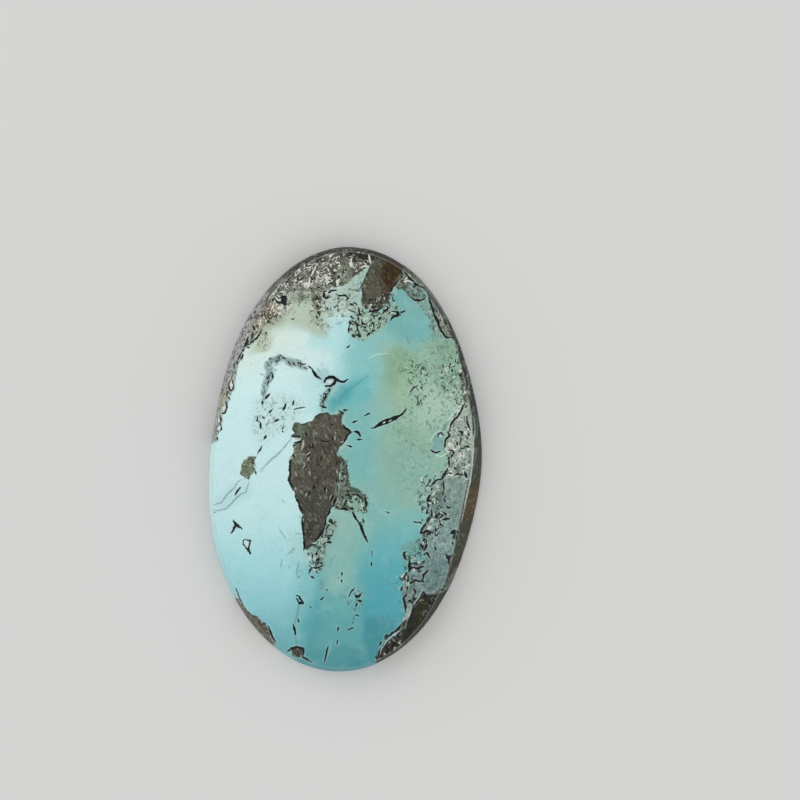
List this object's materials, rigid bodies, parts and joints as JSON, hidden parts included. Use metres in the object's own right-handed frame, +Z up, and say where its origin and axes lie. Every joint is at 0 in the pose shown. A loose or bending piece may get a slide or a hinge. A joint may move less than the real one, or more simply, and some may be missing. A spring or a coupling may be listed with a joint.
{
  "type": "turquoise cabochon",
  "caption": "Cut and polished oval turquoise with a low dome, leaning side wall, sunk dark matrix patches and a flat back.",
  "frame": {"origin": "middle of the flat back, at the bottom centre of the stone's box", "axes": "+Z up out of the dome, +Y along the oval's long axis, +X across it"},
  "size_m": [0.0256, 0.04, 0.006],
  "materials": {
    "turquoise_stone": "polished pale blue turquoise with dark brown ironstone patches and fine dark veins"
  },
  "bodies": {
    "root": {"turquoise": "turquoise_stone"}
  },
  "joints": []
}
